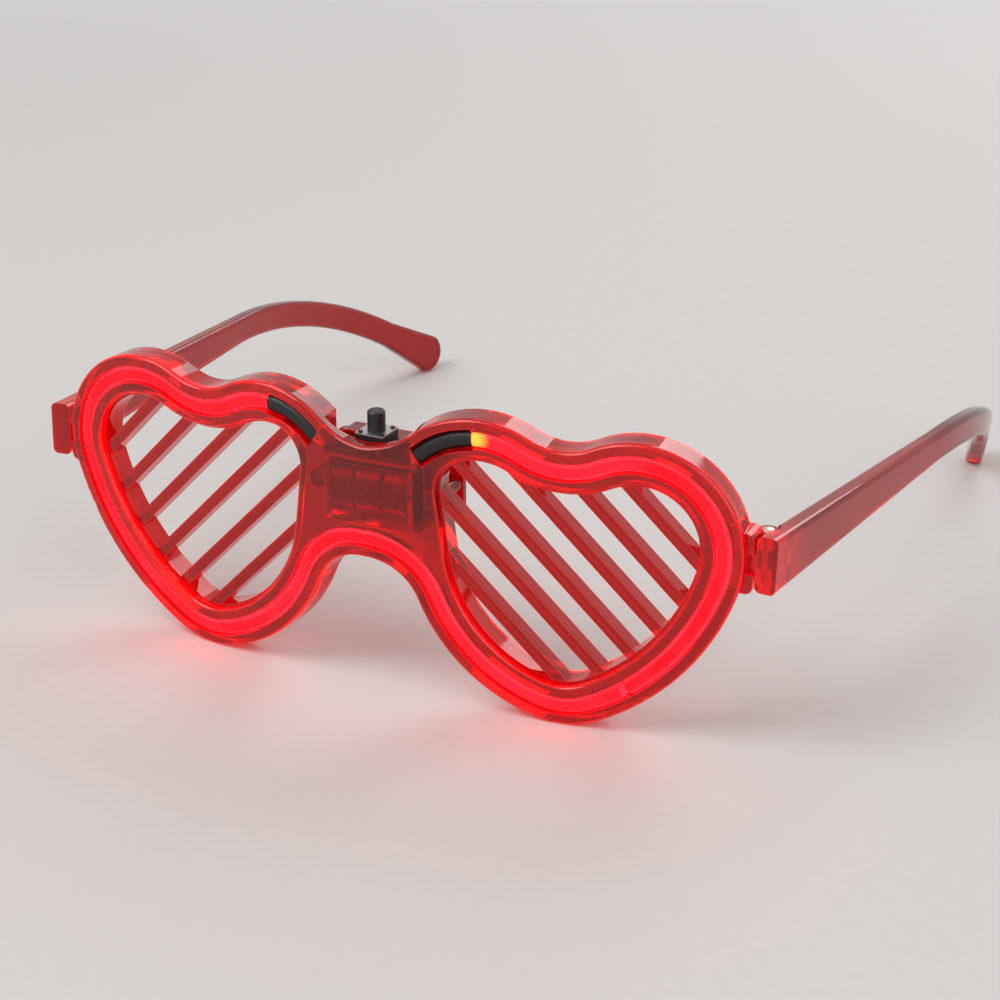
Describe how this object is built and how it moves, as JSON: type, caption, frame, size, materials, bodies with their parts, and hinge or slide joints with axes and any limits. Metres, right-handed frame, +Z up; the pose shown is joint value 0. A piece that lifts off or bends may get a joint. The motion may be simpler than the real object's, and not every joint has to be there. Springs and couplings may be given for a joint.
{
  "type": "heart shaped light-up glasses",
  "caption": "Novelty glasses with a heart-shaped slatted front, glowing edge strips, battery box and push switch at the bridge, and folding temples.",
  "frame": {"origin": "on the surface it stands on, under the middle of the whole object", "axes": "+X to the viewer's right, +Y back along the temples, +Z up"},
  "size_m": [0.1766, 0.175, 0.0602],
  "materials": {
    "red_acrylic": "clear red moulding, glossy",
    "light_strip": "soft red light guide, satin",
    "lamp_epoxy": "clear red epoxy",
    "black_sleeve": "shrink tube, satin",
    "black_plastic": "moulded, fine matt",
    "tinned_steel": "tinned, bright",
    "nickel_steel": "nickel plated",
    "board_laminate": "green lacquer",
    "black_epoxy": "poured blob, glossy"
  },
  "bodies": {
    "front": {"battery_cover": "red_acrylic", "button_cell_1": "nickel_steel", "button_cell_2": "nickel_steel", "button_cell_3": "nickel_steel", "circuit_board": "board_laminate", "cover_screws": "nickel_steel", "driver_chip": "black_epoxy", "front_frame": "red_acrylic", "left_hinge_pin": "nickel_steel", "left_lamp": "lamp_epoxy", "left_lamp_leads": "tinned_steel", "left_slats": "red_acrylic", "left_sleeve": "black_sleeve", "long_strip": "light_strip", "negative_contact": "nickel_steel", "positive_contact": "nickel_steel", "right_hinge_pin": "nickel_steel", "right_lamp": "lamp_epoxy", "right_lamp_leads": "tinned_steel", "right_slats": "red_acrylic", "right_sleeve": "black_sleeve", "short_strip": "light_strip", "switch_base": "black_plastic", "switch_cover": "nickel_steel", "switch_dome": "nickel_steel", "switch_terminals": "tinned_steel"},
    "right_arm": {"right_temple": "red_acrylic"},
    "left_arm": {"left_temple": "red_acrylic"},
    "button": {"switch_plunger": "black_plastic"}
  },
  "joints": [
    {"name": "right_temple_fold", "type": "hinge", "parent": "front", "child": "right_arm", "pos_m": [0.075, -0.07028, 0.0384], "axis": [0, 0, 1], "range_deg": [0, 90]},
    {"name": "left_temple_fold", "type": "hinge", "parent": "front", "child": "left_arm", "pos_m": [-0.075, -0.07028, 0.0384], "axis": [0, 0, -1], "range_deg": [0, 74]},
    {"name": "button_press", "type": "slide", "parent": "front", "child": "button", "axis": [0, 0, -1], "range_m": [0, 0.00025], "stiffness_N_per_m": 4000, "springref_m": -0.0001}
  ]
}
